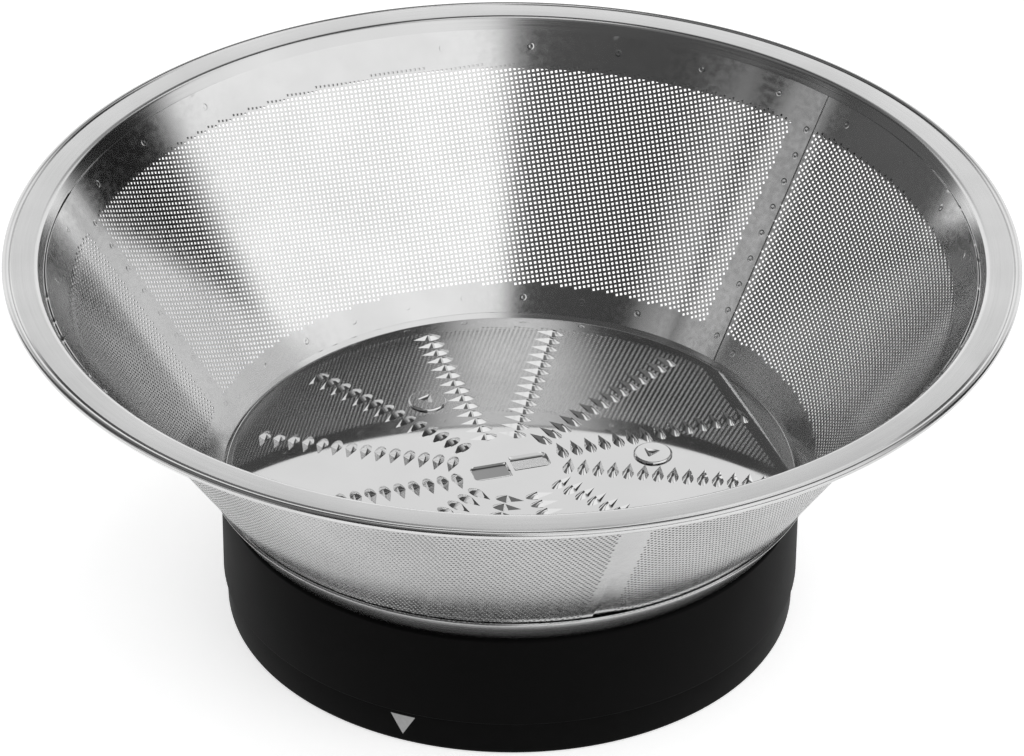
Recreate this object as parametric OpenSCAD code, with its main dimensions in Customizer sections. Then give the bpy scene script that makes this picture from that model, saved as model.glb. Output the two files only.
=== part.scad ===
// Filter basket of a centrifugal juicer: a conical perforated steel sieve with a
// pressed rim, a toothed grater disc as its floor and a black plastic drive base.
// The basket stands on its base, +Z up, with the origin on its axis at table height.
// Every piece is turned about the Z axis. A point on the sieve wall is given by its
// distance up the slope from the lower edge and its distance outwards from the
// inner face, which on_wall() turns into radius and height.

/* [Sieve wall] */
// Outside diameter over the rolled edge of the rim
rim_d = 188; // [180:1:210]
// Height of the rim's flat top above the table
rim_h = 76.5; // [66:0.5:100]
// Inset of the sieve's upper edge from the outside of the rim
rim_inset = 8.13; // [7:0.1:10]
// Drop of the sieve's upper edge below the rim's flat top
edge_drop = 1.97; // [1.7:0.05:4]
// Thickness of the perforated sheet
sheet_t = 0.3; // [0.2:0.05:0.6]
// Plain border between the upper edge and the perforation
border_top = 6.7; // [4:0.1:12]
// Plain border between the lower edge and the perforation
border_low = 5.6; // [5.5:0.1:12]
// Plain strip on each side of a seam's centre line
border_side = 3; // [2.6:0.1:8]
// Distance that one panel laps over the next, past the seam's centre line
lap_w = 3; // [2:0.1:4]
// Direction of the first seam, seen from above
seam_a = 46.4; // [0:0.1:119]
// Diameter of the locating holes at the ends of a seam
pin_hole_d = 1.2; // [0.8:0.1:1.6]
// Distance of a locating hole from the end of its seam
pin_hole_in = 2.4; // [1.8:0.1:3]

/* [Perforation] */
// Spacing of the openings, each of which stands for a block of the sheet's fine holes
hole_pitch = 7.2; // [6.3:0.9:13.5]
// Width of a square opening
hole_w = 4.6; // [2:0.1:5]

/* [Rim] */
// Thickness of the rim's steel
rim_t = 0.6; // [0.4:0.1:0.8]
// Radius of the bend between the rim's wall and its flat top
shoulder_r = 1.2; // [1:0.1:1.5]
// Radius of the rolled outer edge
roll_r = 0.75; // [0.6:0.05:1]
// Distance of the roll's centre below the flat top
roll_drop = 0.6; // [0.4:0.05:0.8]
// Overlap of the rim's skirt with the sieve, down the slope
skirt_lap = 7.7; // [5:0.1:9]

/* [Lower band and grater disc] */
// Thickness of the welded lower band
band_t = 0.5; // [0.3:0.1:0.8]
// Height of the band up the sieve's outer face
band_up = 5.3; // [3:0.1:5.4]
// Width of the band's turned-in flange
flange_w = 9; // [6:0.5:14]
// Thickness of the grater disc
disc_t = 0.8; // [0.6:0.1:1.2]
// Gap between the disc's edge and the sieve's lower edge
disc_gap = 1.45; // [0.8:0.05:3]
// Depth of the two flats on the disc's edge
disc_flat = 2.7; // [1:0.1:4]
// Direction of the flats
disc_flat_a = 18; // [0:1:179]
// Rise of the sieve's lower edge above the band's flange
sheet_rise = 1.19; // [0.8:0.01:2]

/* [Grater teeth] */
// Directions of the rows of teeth, read off the disc
row_angles = [20, 49, 78.5, 108, 139, 167, 198, 228.5, 259.5, 289.5, 321, 351.7];
// Radius of the innermost tooth
tooth_in = 10.3; // [10:0.1:14]
// Spacing of the teeth along a row
tooth_pitch = 2.77; // [2.6:0.01:5]
// Width of a tooth
tooth_w = 2.2; // [1.6:0.1:2.5]
// Length of a tooth's rounded back, from its crest
tooth_back = 2.3; // [1.5:0.1:3]
// Length of a tooth's point, from its crest
tooth_point = 3.2; // [1.5:0.1:4]
// Height of the crest above the disc
tooth_h = 1; // [0.6:0.1:2]
// Offset of the crests from the radial line of their row
tooth_shift = 1.4; // [0:0.1:2]

/* [Centre scoops] */
// Length of one scoop
scoop_l = 7.4; // [5:0.1:7.8]
// Width of one scoop
scoop_w = 4.9; // [3:0.1:5.5]
// Depth at the steep side
scoop_depth = 0.55; // [0.3:0.05:0.55]
// Direction in which the two scoops lie
scoop_a = 17; // [0:1:90]
// Sideways offset of each scoop from the common centre line
scoop_off = 0.75; // [0:0.05:1]

/* [Disc rivets] */
// Directions of the rivets, read off the disc
rivet_angles = [9.5, 126, 248];
// Radius of the rivet circle
rivet_r = 27.5; // [20:0.5:32]
// Diameter of the head
head_d = 7.5; // [5:0.1:8]
// Height of the head
head_h = 0.8; // [0.6:0.1:1.2]
// Diameter of the shank
shank_d = 3; // [2:0.1:4]
// Length of the shank below the disc
shank_l = 12; // [8:0.5:16]

/* [Drive base] */
// Diameter of the plastic drum
base_d = 109.7; // [90:0.1:120]
// Height of the drum's seat for the steel parts
base_h = 26.2; // [24:0.1:36]
// Wall of the drum
drum_wall = 2.4; // [1.6:0.1:3.5]
// Thickness of the drum's top plate
plate_t = 2.4; // [1.8:0.1:3]
// Height of the lower cover's visible band
cover_h = 7.2; // [6:0.1:10]
// Step from the drum down to the cover, in radius
cover_step = 0.6; // [0.2:0.1:1]
// Width of the foot ring that the basket stands on
foot_w = 5.7; // [4:0.1:9]
// Depth of the recess inside the foot ring
recess_h = 3; // [2:0.1:3.6]
// Thickness of the cover's floor
floor_t = 2.2; // [1.5:0.1:2.4]
// Number of ribs under the cover
rib_n = 12; // [6:1:18]
// Thickness of a rib
rib_t = 1.6; // [1:0.1:2.5]

/* [Drive bush] */
// Diameter of the pilot bore that fits the motor's spindle hub
bore_d = 14; // [12:0.1:16]
// Length of the pilot bore
bore_l = 6; // [4:0.5:8]
// Wall of the bush around the pilot bore
bush_wall = 2.4; // [2.2:0.1:3]
// Length of the bush
bush_l = 17; // [14:0.5:18]
// Number of drive slots above the pilot bore
slot_n = 6; // [3:1:8]
// Width of a drive slot
slot_w = 3; // [2:0.1:3.5]
// Depth of a drive slot
slot_depth = 1.5; // [0.8:0.1:1.6]
// Wall of the drum's hub around the bush
hub_wall = 3; // [2:0.1:4]

/* [Alignment mark] */
// Direction of the triangle on the cover's band
mark_a = 249; // [180:1:330]
// Width of the triangle
mark_w = 4.8; // [3:0.1:7]
// Height of the triangle
mark_h = 4.2; // [2:0.1:4.4]
// Depth of the triangle into the band
mark_t = 0.4; // [0.2:0.1:0.6]

/* [Fits] */
// Gap between sheets that are spot-welded together
weld_gap = 0.05; // [0.02:0.01:0.15]
// Clearance round a pressed-in or plugged-in piece, in radius
fit_gap = 0.1; // [0.05:0.05:0.2]

/* [Hidden] */
PANELS = 3;
$fn = 96;
big = 2*rim_d;
panel_a = 360/PANELS;

// Heights of the stacked steel parts
flange_z = base_h + band_t;
disc_z = flange_z + disc_t;

// The sieve wall, from its lower edge to its upper edge
low_r = base_d/2 - 0.4;
low_z = flange_z + sheet_rise;
top_r = rim_d/2 - rim_inset;
top_z = rim_h - edge_drop;
slope_a = atan2(top_r - low_r, top_z - low_z);
slope_l = norm([top_r - low_r, top_z - low_z]);
flat_r = low_r/sin(slope_a);
outer_n = sheet_t + weld_gap;

function on_wall(up, out) = [
    low_r + up*sin(slope_a) + out*cos(slope_a),
    low_z + up*cos(slope_a) - out*sin(slope_a)
];
// Distance up the slope at which a line parallel to the wall reaches a height
function up_at(z, out) = (z - low_z + out*sin(slope_a))/cos(slope_a);
function arc(c, r, a0, a1, steps = 6) = [
    for (i = [0:steps])
        let (a = a0 + (a1 - a0)*i/steps)
        c + r*[cos(a), sin(a)]
];

// Base sizes that follow from the drum
drum_r = base_d/2;
cover_r = drum_r - cover_step;
band_r = drum_r - flange_w;
bush_r = bore_d/2 + bush_wall;
hub_r = bush_r + fit_gap + hub_wall;
foot_chamfer = 0.8;
seam_chamfer = 0.3;
bush_z = 1;

// Places a child on the sieve wall, at a spot of the flattened panel measured from
// the panel's own centre line, with Z along the wall's normal
module on_panel(across, along, out = 0) {
    turn = atan2(across, along);
    place = on_wall(norm([across, along]) - flat_r, out);
    rotate([0, 0, panel_a/2 - turn/sin(slope_a)])
        translate([place.x, 0, place.y])
            rotate([0, 90 + slope_a, 0])
                rotate([0, 0, -turn])
                    children();
}

// One sheet of the wall, between two distances from its inner face
module wall_sheet(from_out, to_out, a0, a1) {
    rotate([0, 0, a0])
        rotate_extrude(angle = a1 - a0)
            polygon([
                on_wall(0, from_out),
                on_wall(slope_l, from_out),
                on_wall(slope_l, to_out),
                on_wall(0, to_out)
            ]);
}

// True where a whole opening fits inside the panel's plain borders
function opening_fits(x, y) =
    let (r = norm([x, y]), half = hole_w/sqrt(2))
    let (side = r*sin(panel_a/2*sin(slope_a) - abs(atan2(x, y))))
    r - half > flat_r + max(border_low, band_up)
        && r + half < flat_r + slope_l - max(border_top, skirt_lap)
        && side - half > border_side;

module openings() {
    reach = ceil((flat_r + slope_l)/hole_pitch);
    first_y = flat_r + max(border_low, band_up) + hole_w/sqrt(2) + 0.2;
    for (i = [-reach:reach], j = [-reach:reach]) {
        x = i*hole_pitch;
        y = first_y + j*hole_pitch;
        if (opening_fits(x, y))
            on_panel(x, y) cube([hole_w, hole_w, 6*sheet_t], center = true);
    }
}

module pin_hole(up) {
    place = on_wall(up, 0);
    translate([place.x, 0, place.y])
        rotate([0, 90 + slope_a, 0])
            cylinder(h = 8*sheet_t, d = pin_hole_d, center = true, $fn = 24);
}

// A panel runs from its own seam at angle 0 to the next. Its first edge is joggled
// inwards and laps over the last edge of the panel before it.
module sieve_panel() {
    joint_y = -pin_hole_d/2 - 0.4;
    butt_gap = 0.4;
    color("lightgray")
    difference() {
        union() {
            difference() {
                wall_sheet(0, sheet_t, -8, panel_a + 8);
                translate([0, -big + joint_y, 0])
                    cube([big, big, big]);
                rotate([0, 0, panel_a])
                    translate([0, joint_y - butt_gap, 0])
                        cube([big, big, big]);
            }
            intersection() {
                wall_sheet(-sheet_t, 0, -8, 8);
                translate([0, -lap_w, 0])
                    cube([big, lap_w + 2, big]);
            }
        }
        openings();
        pin_hole(pin_hole_in);
        pin_hole(slope_l - pin_hole_in);
    }
}

module place_panel(k) {
    rotate([0, 0, seam_a + k*panel_a])
        sieve_panel();
}

module rim_ring() {
    skirt = slope_l - skirt_lap;
    bend = [
        on_wall(up_at(rim_h - shoulder_r, outer_n + shoulder_r), outer_n + shoulder_r).x,
        rim_h - shoulder_r
    ];
    roll = [rim_d/2 - roll_r, rim_h - roll_drop];
    groove = 0.22;
    roll_from = 180 - asin((roll_drop - groove)/roll_r);
    roll_to = -180 - asin((roll_drop - rim_t)/roll_r);
    color("silver")
    rotate_extrude()
        polygon(concat(
            [on_wall(skirt, outer_n)],
            arc(bend, shoulder_r, 180 - slope_a, 90),
            [[roll.x - roll_r - groove, rim_h]],
            arc(roll, roll_r, roll_from, roll_to, 20),
            arc(bend, shoulder_r - rim_t, 90, 180 - slope_a),
            [on_wall(skirt, outer_n + rim_t)]
        ));
}

module lower_band() {
    inner = outer_n;
    outer = outer_n + band_t;
    color("darkgray")
    rotate_extrude()
        polygon([
            [band_r, base_h],
            on_wall(up_at(base_h, outer), outer),
            on_wall(band_up, outer),
            on_wall(band_up, inner),
            on_wall(up_at(flange_z, inner), inner),
            [band_r, flange_z]
        ]);
}

// A tooth is a teardrop hill: a rounded back, a sharp crest and a long point
module tooth() {
    sink = 0.2;
    half = tooth_w/2;
    round_c = half - tooth_back;
    outline = concat(
        [[0, tooth_point], [-half, 0]],
        arc([0, round_c], half, 180, 360, 4),
        [[half, 0]]
    );
    n = len(outline);
    polyhedron(
        points = concat(
            [for (p = outline) [p.x, p.y, -sink]],
            [for (p = outline) [p.x, p.y, 0]],
            [[0, 0, tooth_h]]
        ),
        faces = concat(
            [[for (i = [0:n - 1]) i]],
            [for (i = [0:n - 1]) [i, i + n, (i + 1)%n + n, (i + 1)%n]],
            [for (i = [0:n - 1]) [i + n, 2*n, (i + 1)%n + n]]
        )
    );
}

function disc_r() = low_r - disc_gap;
function around(a, r, off) = [r*cos(a) - off*sin(a), r*sin(a) + off*cos(a)];

// True where a tooth's ends stay off every rivet head
function tooth_fits(a, r) =
    min([
        for (b = rivet_angles, off = [tooth_shift - tooth_back, tooth_shift + tooth_point])
            norm(around(a, r, off) - around(b, rivet_r, 0))
    ]) > head_d/2 + 0.05;

module tooth_row(a) {
    last = disc_r() - disc_flat - tooth_w/2;
    for (r = [tooth_in:tooth_pitch:last])
        if (tooth_fits(a, r))
            rotate([0, 0, a])
                translate([r, tooth_shift, 0])
                    tooth();
}

// A pocket pressed into the disc: steep along one long side, with a round floor
// that rises to the disc's face at the other
module scoop() {
    inner = 0.4;
    corner = 1.2;
    steep_y = scoop_off - scoop_w/2;
    run = scoop_w - 0.7;
    floor_r = (run*run + scoop_depth*scoop_depth)/(2*scoop_depth);
    intersection() {
        translate([0, scoop_off + scoop_w/2 - run, floor_r - scoop_depth])
            rotate([0, 90, 0])
                cylinder(h = 2*scoop_l, r = floor_r);
        translate([0, 0, -scoop_depth]) union() {
            translate([inner, steep_y, -1])
                cube([scoop_l - corner, scoop_w, 3]);
            translate([inner, steep_y + corner, -1])
                cube([scoop_l, scoop_w - 2*corner, 3]);
            for (y = [steep_y + corner, steep_y + scoop_w - corner])
                translate([inner + scoop_l - corner, y, -1])
                    cylinder(h = 3, r = corner, $fn = 32);
        }
    }
}

module at_rivet(k) {
    rotate([0, 0, rivet_angles[k]])
        translate([rivet_r, 0, 0])
            children();
}

module at_rivets() {
    for (k = [0:len(rivet_angles) - 1])
        at_rivet(k) children();
}

module grater_disc() {
    color("gainsboro")
    translate([0, 0, disc_z])
        union() {
            difference() {
                translate([0, 0, -disc_t]) cylinder(h = disc_t, r = disc_r());
                for (k = [0, 180])
                    rotate([0, 0, disc_flat_a + k])
                        translate([disc_r() - disc_flat, -big/2, -big/2])
                            cube(big);
                for (k = [0, 180])
                    rotate([0, 0, scoop_a + k]) scoop();
                at_rivets()
                    cylinder(h = 4*disc_t, d = shank_d + 2*fit_gap, center = true, $fn = 32);
            }
            for (a = row_angles)
                tooth_row(a);
        }
}

// A low button head with a flat top and a three-cornered punch mark
module disc_rivet(k) {
    rim_h1 = 0.25;
    shoulder = 0.7;
    punch_r = 1.3;
    punch_depth = 0.3;
    color("silver")
    translate([0, 0, disc_z])
        at_rivet(k)
            difference() {
                union() {
                    cylinder(h = rim_h1, d = head_d, $fn = 48);
                    translate([0, 0, rim_h1])
                        cylinder(h = head_h - rim_h1, d1 = head_d, d2 = head_d - 2*shoulder, $fn = 48);
                    translate([0, 0, -disc_t - shank_l])
                        cylinder(h = disc_t + shank_l + 0.1, d = shank_d, $fn = 32);
                }
                translate([0, 0, head_h - punch_depth])
                    rotate([0, 0, 20])
                        cylinder(h = 1, r = punch_r, $fn = 3);
            }
}

// The drum is a shell that is open below, with a hub for the bush and a boss for
// each rivet. Its top steps up inside the lower band's flange.
module base_drum() {
    edge = 0.5;
    hub_low = bush_z;
    under = base_h - plate_t;
    pad_r = band_r - fit_gap;
    boss_r = shank_d/2 + 2.5;
    boss_l = shank_l - plate_t + 1.5;
    color("#1c1c1e")
    difference() {
        union() {
            rotate_extrude()
                polygon([
                    [0, flange_z],
                    [pad_r, flange_z],
                    [pad_r, base_h],
                    [drum_r - edge, base_h],
                    [drum_r, base_h - edge],
                    [drum_r, cover_h + seam_chamfer],
                    [drum_r - seam_chamfer, cover_h],
                    [drum_r - drum_wall, cover_h],
                    [drum_r - drum_wall, under],
                    [hub_r, under],
                    [hub_r, hub_low],
                    [0, hub_low]
                ]);
            at_rivets()
                translate([0, 0, under - boss_l])
                    cylinder(h = boss_l + 0.5, r = boss_r, $fn = 32);
            for (k = [0:rib_n/2 - 1])
                rotate([0, 0, rivet_angles[0] + 30 + k*720/rib_n])
                    translate([hub_r - 0.5, -rib_t/2, under - 6])
                        cube([drum_r - drum_wall - hub_r + 1, rib_t, 6.5]);
        }
        translate([0, 0, hub_low - 1])
            cylinder(h = bush_l + 1, r = bush_r + fit_gap);
        translate([0, 0, hub_low])
            cylinder(h = bush_l + 2, d = bore_d, $fn = 64);
        at_rivets()
            translate([0, 0, flange_z - shank_l - 0.5])
                cylinder(h = shank_l + 1, d = shank_d + 2*fit_gap, $fn = 32);
    }
}

// The triangle's field of the cover's outer band, out to a given radius
module mark_field(to_r) {
    top = 6.2;
    intersection() {
        difference() {
            cylinder(h = cover_h, r = to_r);
            translate([0, 0, -1]) cylinder(h = cover_h + 2, r = cover_r - mark_t);
        }
        rotate([0, 0, mark_a])
            translate([cover_r - 4, 0, 0])
                rotate([90, 0, 90])
                    linear_extrude(height = 8)
                        polygon([[-mark_w/2, top], [mark_w/2, top], [0, top - mark_h]]);
    }
}

// The cover closes the drum from below: a foot ring to stand on, a recessed floor
// with ribs, and a spigot that plugs into the drum
module base_cover() {
    foot_r = cover_r - foot_w;
    spigot_r = drum_r - drum_wall - fit_gap;
    spigot_up = 3;
    hole_r = hub_r + fit_gap;
    floor_z = recess_h + floor_t;
    rib_low = 0.8;
    color("#18181a")
    difference() {
        union() {
            rotate_extrude()
                polygon([
                    [foot_r, 0],
                    [cover_r - foot_chamfer, 0],
                    [cover_r, foot_chamfer],
                    [cover_r, cover_h - seam_chamfer],
                    [cover_r - seam_chamfer, cover_h],
                    [spigot_r, cover_h],
                    [spigot_r, cover_h + spigot_up],
                    [spigot_r - 1.8, cover_h + spigot_up],
                    [spigot_r - 1.8, floor_z],
                    [hole_r, floor_z],
                    [hole_r, recess_h],
                    [foot_r, recess_h]
                ]);
            for (k = [0:rib_n - 1])
                rotate([0, 0, rivet_angles[0] + k*360/rib_n])
                    translate([hub_r + 1.5, -rib_t/2, rib_low])
                        cube([foot_r - hub_r - 1, rib_t, recess_h - rib_low + 0.5]);
        }
        mark_field(cover_r + 1);
    }
}

module alignment_mark() {
    color("white")
    mark_field(cover_r);
}

// A plain pilot bore at the mouth, with the drive slots above it
module drive_bush() {
    slot_base_r = bore_d/2 - 0.5;
    slot_r = slot_base_r + slot_depth;
    lead_in = 1;
    color("slategray")
    difference() {
        translate([0, 0, bush_z]) cylinder(h = bush_l, r = bush_r);
        translate([0, 0, bush_z - 1]) cylinder(h = bore_l + 1, d = bore_d, $fn = 64);
        translate([0, 0, bush_z]) cylinder(h = bush_l + 1, r = slot_base_r, $fn = 64);
        for (k = [0:slot_n - 1])
            rotate([0, 0, k*360/slot_n])
                translate([0, -slot_w/2, bush_z + bore_l + lead_in])
                    cube([slot_r, slot_w, bush_l]);
    }
}

rim_ring();
place_panel(0);  // sieve_panel_1
place_panel(1);  // sieve_panel_2
place_panel(2);  // sieve_panel_3
lower_band();
grater_disc();
disc_rivet(0);  // disc_rivet_1
disc_rivet(1);  // disc_rivet_2
disc_rivet(2);  // disc_rivet_3
base_drum();
base_cover();
alignment_mark();
drive_bush();
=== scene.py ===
"""Filter basket of a centrifugal juicer: perforated cone, grater disc and drive base.

Sizes are in millimetres in this script and become metres when a mesh is made. The
sizes of the sheet metal and the base repeat the solids that the pieces stand for.
"""

import math

import bmesh
import bpy
from mathutils import Matrix, Vector


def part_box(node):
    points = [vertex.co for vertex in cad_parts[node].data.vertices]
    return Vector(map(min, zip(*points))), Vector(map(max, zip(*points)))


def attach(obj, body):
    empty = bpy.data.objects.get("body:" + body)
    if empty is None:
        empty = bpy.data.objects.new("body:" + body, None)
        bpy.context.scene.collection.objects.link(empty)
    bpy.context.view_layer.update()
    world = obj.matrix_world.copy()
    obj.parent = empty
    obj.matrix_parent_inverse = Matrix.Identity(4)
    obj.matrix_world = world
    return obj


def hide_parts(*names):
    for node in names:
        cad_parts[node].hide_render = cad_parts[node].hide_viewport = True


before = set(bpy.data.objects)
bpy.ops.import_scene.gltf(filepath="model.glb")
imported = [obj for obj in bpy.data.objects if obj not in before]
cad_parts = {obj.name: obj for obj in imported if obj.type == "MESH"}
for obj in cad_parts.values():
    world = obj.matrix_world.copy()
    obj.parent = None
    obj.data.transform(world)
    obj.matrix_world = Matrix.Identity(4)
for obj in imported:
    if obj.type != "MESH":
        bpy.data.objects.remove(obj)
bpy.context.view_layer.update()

MM = 0.001

# Sieve wall
rim_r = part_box("rim_ring")[1][0] / MM
rim_h = 76.5
rim_inset = 8.13
edge_drop = 1.97
sheet_t = 0.2
border_top = 6.7
border_low = 5.35
border_side = 2.3
lap_clear = 0.1
lap_w = 3.0
lap_under = 1.4
lap_run = 9.0
seam_a = 46.4
panel_a = 120.0

# Perforation
hole_pitch = 0.9
hole_w = 0.46

# Spot welds: a low ring round a dimple, in two rows round the cone and along each seam
weld_section = [(0, 0.012), (0.3, 0.018), (0.48, 0.04), (0.72, 0), (0.72, -0.05), (0, -0.05)]
weld_count = 30
weld_first_a = 111.7
weld_up = [3.0, -3.3]
seam_weld_first = 4.5
seam_weld_pitch = 5.5

# Rim
rim_t = 0.6
shoulder_r = 1.2
roll_r = 0.75
roll_drop = 0.6
roll_groove = 0.22
skirt_lap = 7.7

# Lower band and disc
band_t = 0.5
band_up = 5.3
flange_w = 9.0
disc_t = 0.8
disc_gap = 1.45
disc_flat = 2.7
disc_flat_a = 18.0
sheet_rise = 1.19
weld_gap = 0.05

# Grater teeth
row_angles = [20, 49, 78.5, 108, 139, 167, 198, 228.5, 259.5, 289.5, 321, 351.7]
tooth_in = 10.95
tooth_pitch = 2.85
tooth_w = 2.25
tooth_back = 2.3
tooth_point = 3.25
tooth_h = 0.95
tooth_shift = 1.45
groove_deep = 0.68
groove_ripple = 0.06
groove_clear = 0.02

# Centre scoops
scoop_l = 7.4
scoop_w = 4.9
scoop_depth = 0.55
scoop_a = 17.0
scoop_off = 0.75
scoop_inner = 0.4
scoop_corner = 1.2
scoop_end = 0.3
# Depth of a scoop across its width, as shares of its width and of its full depth
scoop_section = [(0, 0), (0.12, 0.48), (0.2, 0.56), (0.78, 1.0), (0.85, 0.92), (1, 0)]

# Rivets
rivet_angles = [9.5, 126, 248]
rivet_r = 27.5
head_d = 7.5
head_h = 0.5
head_flat = 2.9
shank_d = 3.0
shank_l = 10.0
# The punched mark in a head: corner distance, depth, turn and offset for each rivet
punch_r = 1.95
punch_deep = 0.42
punch_turns = [15, 70, 40]
punch_offsets = [(-0.35, 0.1), (-0.2, 0.3), (0.1, -0.2)]

# Base
base_r = 54.85
base_h = 26.2
cover_h = 7.2
cover_r = base_r - 0.6
shell_t = 2.4
fit_gap = 0.1
bore_r = 7.0
bore_top = 20.0
bush_r = 9.5
bush_top = 18.0
hub_r = bore_r + shell_t + fit_gap + 3.0
hub_low = 1.0
foot_w = 5.7
cover_recess = 3.0
cover_floor = cover_recess + 2.2
cover_hole = 12.6
spigot_h = 3.0
spigot_t = 1.8

# Sizes that follow
flange_z = base_h + band_t
disc_z = flange_z + disc_t
low_r = base_r - 0.4
low_z = flange_z + sheet_rise
top_r = rim_r - rim_inset
top_z = rim_h - edge_drop
slope_a = math.atan2(top_r - low_r, top_z - low_z)
slope_l = math.hypot(top_r - low_r, top_z - low_z)
flat_r = low_r / math.sin(slope_a)
outer_n = 0.3 + weld_gap
disc_r = low_r - disc_gap


def on_wall(up, out):
    """Radius and height of a point on the cone, from its slope distance and offset."""
    return (
        low_r + up * math.sin(slope_a) + out * math.cos(slope_a),
        low_z + up * math.cos(slope_a) - out * math.sin(slope_a),
    )


def wall_up_at(z, out):
    return (z - low_z + out * math.sin(slope_a)) / math.cos(slope_a)


def arc(centre, radius, start, end, steps):
    """Points of a circle's arc in the radius-height plane, angles in degrees."""
    points = []
    for i in range(steps + 1):
        a = math.radians(start + (end - start) * i / steps)
        points.append((centre[0] + radius * math.cos(a), centre[1] + radius * math.sin(a)))
    return points


def rounded(corners, steps=6):
    """A closed outline from (x, y, radius) corners, with each corner rounded."""
    outline = []
    count = len(corners)
    for i, (x, y, radius) in enumerate(corners):
        here = Vector((x, y))
        before = Vector(corners[i - 1][:2]) - here
        after = Vector(corners[(i + 1) % count][:2]) - here
        if radius <= 0:
            outline.append((x, y))
            continue
        half = before.angle(after) / 2
        setback = min(radius / math.tan(half), 0.49 * before.length, 0.49 * after.length)
        radius = setback * math.tan(half)
        centre = here + (before.normalized() + after.normalized()).normalized() * radius / math.sin(half)
        first = here + before.normalized() * setback - centre
        last = here + after.normalized() * setback - centre
        turn = first.angle_signed(last)
        for k in range(steps + 1):
            spoke = first.copy()
            spoke.rotate(Matrix.Rotation(-turn * k / steps, 2))
            outline.append(tuple(centre + spoke))
    return outline


# Meshes


def finish_mesh(mesh, sharp_above, flat_at=None):
    """Smooth faces with hard edges where the surface turns by more than an angle.

    Faces that lie flat at the height flat_at keep a hard edge all round, so that the
    large triangles of a flat face take no shade from the curved faces next to it.
    """
    form = bmesh.new()
    form.from_mesh(mesh)
    limit = math.radians(sharp_above)
    for face in form.faces:
        face.smooth = True
    for edge in form.edges:
        edge.smooth = len(edge.link_faces) == 2 and edge.calc_face_angle(0) < limit
        if flat_at is not None and edge.smooth:
            flat = [max(abs(v.co.z - flat_at * MM) for v in face.verts) < 1e-7 for face in edge.link_faces]
            edge.smooth = flat[0] == flat[1]
    form.to_mesh(mesh)
    form.free()


def piece(name, mesh, material, replaced=(), sharp_above=35, flat_at=None):
    """Puts a finished mesh in the scene as a piece of the basket."""
    finish_mesh(mesh, sharp_above, flat_at)
    mesh.materials.clear()
    mesh.materials.append(material)
    made = bpy.data.objects.new(name, mesh)
    bpy.context.scene.collection.objects.link(made)
    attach(made, "root")
    if replaced:
        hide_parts(*replaced)
    return made


def lathe_mesh(name, outline, turns=360):
    """A closed outline in the radius-height plane, spun round the Z axis."""
    form = bmesh.new()
    rings = []
    for radius, height in outline:
        if radius < 1e-6:
            rings.append([form.verts.new((0, 0, height * MM))] * turns)
            continue
        ring = []
        for k in range(turns):
            a = 2 * math.pi * k / turns
            ring.append(form.verts.new((radius * MM * math.cos(a), radius * MM * math.sin(a), height * MM)))
        rings.append(ring)
    for i, ring in enumerate(rings):
        following = rings[(i + 1) % len(rings)]
        for k in range(turns):
            corners = [ring[k], ring[(k + 1) % turns], following[(k + 1) % turns], following[k]]
            corners = list(dict.fromkeys(corners))
            if len(corners) > 2:
                form.faces.new(corners)
    bmesh.ops.recalc_face_normals(form, faces=form.faces)
    mesh = bpy.data.meshes.new(name)
    form.to_mesh(mesh)
    form.free()
    return mesh


# Node trees


def feed_socket(links, node, key, value):
    """Links or sets an input, given by its name or, as i0 or i1, by its number."""
    numbered = key[0] == "i" and key[1:].isdigit()
    socket = node.inputs[int(key[1:]) if numbered else key.replace("_", " ")]
    if isinstance(value, bpy.types.NodeSocket):
        links.new(value, socket)
    else:
        socket.default_value = value


def add_node(nodes, links, kind, settings, inputs):
    node = nodes.new(kind)
    for key, value in (settings or {}).items():
        setattr(node, key, value)
    for key, value in inputs.items():
        feed_socket(links, node, key, value)
    return node


class Tree:
    """A geometry node tree with named sizes, wired step by step."""

    def __init__(self, name):
        self.group = bpy.data.node_groups.new(name, "GeometryNodeTree")
        self.group.interface.new_socket("Geometry", in_out="OUTPUT", socket_type="NodeSocketGeometry")
        self.sockets = {}
        self.entry = self.group.nodes.new("NodeGroupInput")
        self.exit = self.group.nodes.new("NodeGroupOutput")

    def size(self, name, value, kind="NodeSocketFloat"):
        socket = self.group.interface.new_socket(name, in_out="INPUT", socket_type=kind)
        self.sockets[name] = (socket.identifier, value)
        return self.entry.outputs[name]

    def add(self, kind, settings=None, **inputs):
        return add_node(self.group.nodes, self.group.links, kind, settings, inputs)

    def feed(self, node, key, value):
        feed_socket(self.group.links, node, key, value)

    def math(self, operation, a, b=0.0, c=0.0):
        node = self.group.nodes.new("ShaderNodeMath")
        node.operation = operation
        for socket, value in zip(node.inputs, (a, b, c)):
            if isinstance(value, bpy.types.NodeSocket):
                self.group.links.new(value, socket)
            else:
                socket.default_value = value
        return node.outputs[0]

    def finish(self, geometry, material):
        made = self.add("GeometryNodeSetMaterial", Geometry=geometry, Material=material)
        self.group.links.new(made.outputs[0], self.exit.inputs[0])

    def make(self, name, source=None):
        """Runs the tree on a mesh and returns the result as a plain mesh."""
        holder = bpy.data.objects.new(name, source or bpy.data.meshes.new(name))
        bpy.context.scene.collection.objects.link(holder)
        modifier = holder.modifiers.new(name, "NODES")
        modifier.node_group = self.group
        for identifier, value in self.sockets.values():
            modifier[identifier] = value
        ready = holder.evaluated_get(bpy.context.evaluated_depsgraph_get())
        mesh = bpy.data.meshes.new_from_object(ready)
        bpy.data.objects.remove(holder)
        return mesh


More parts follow.
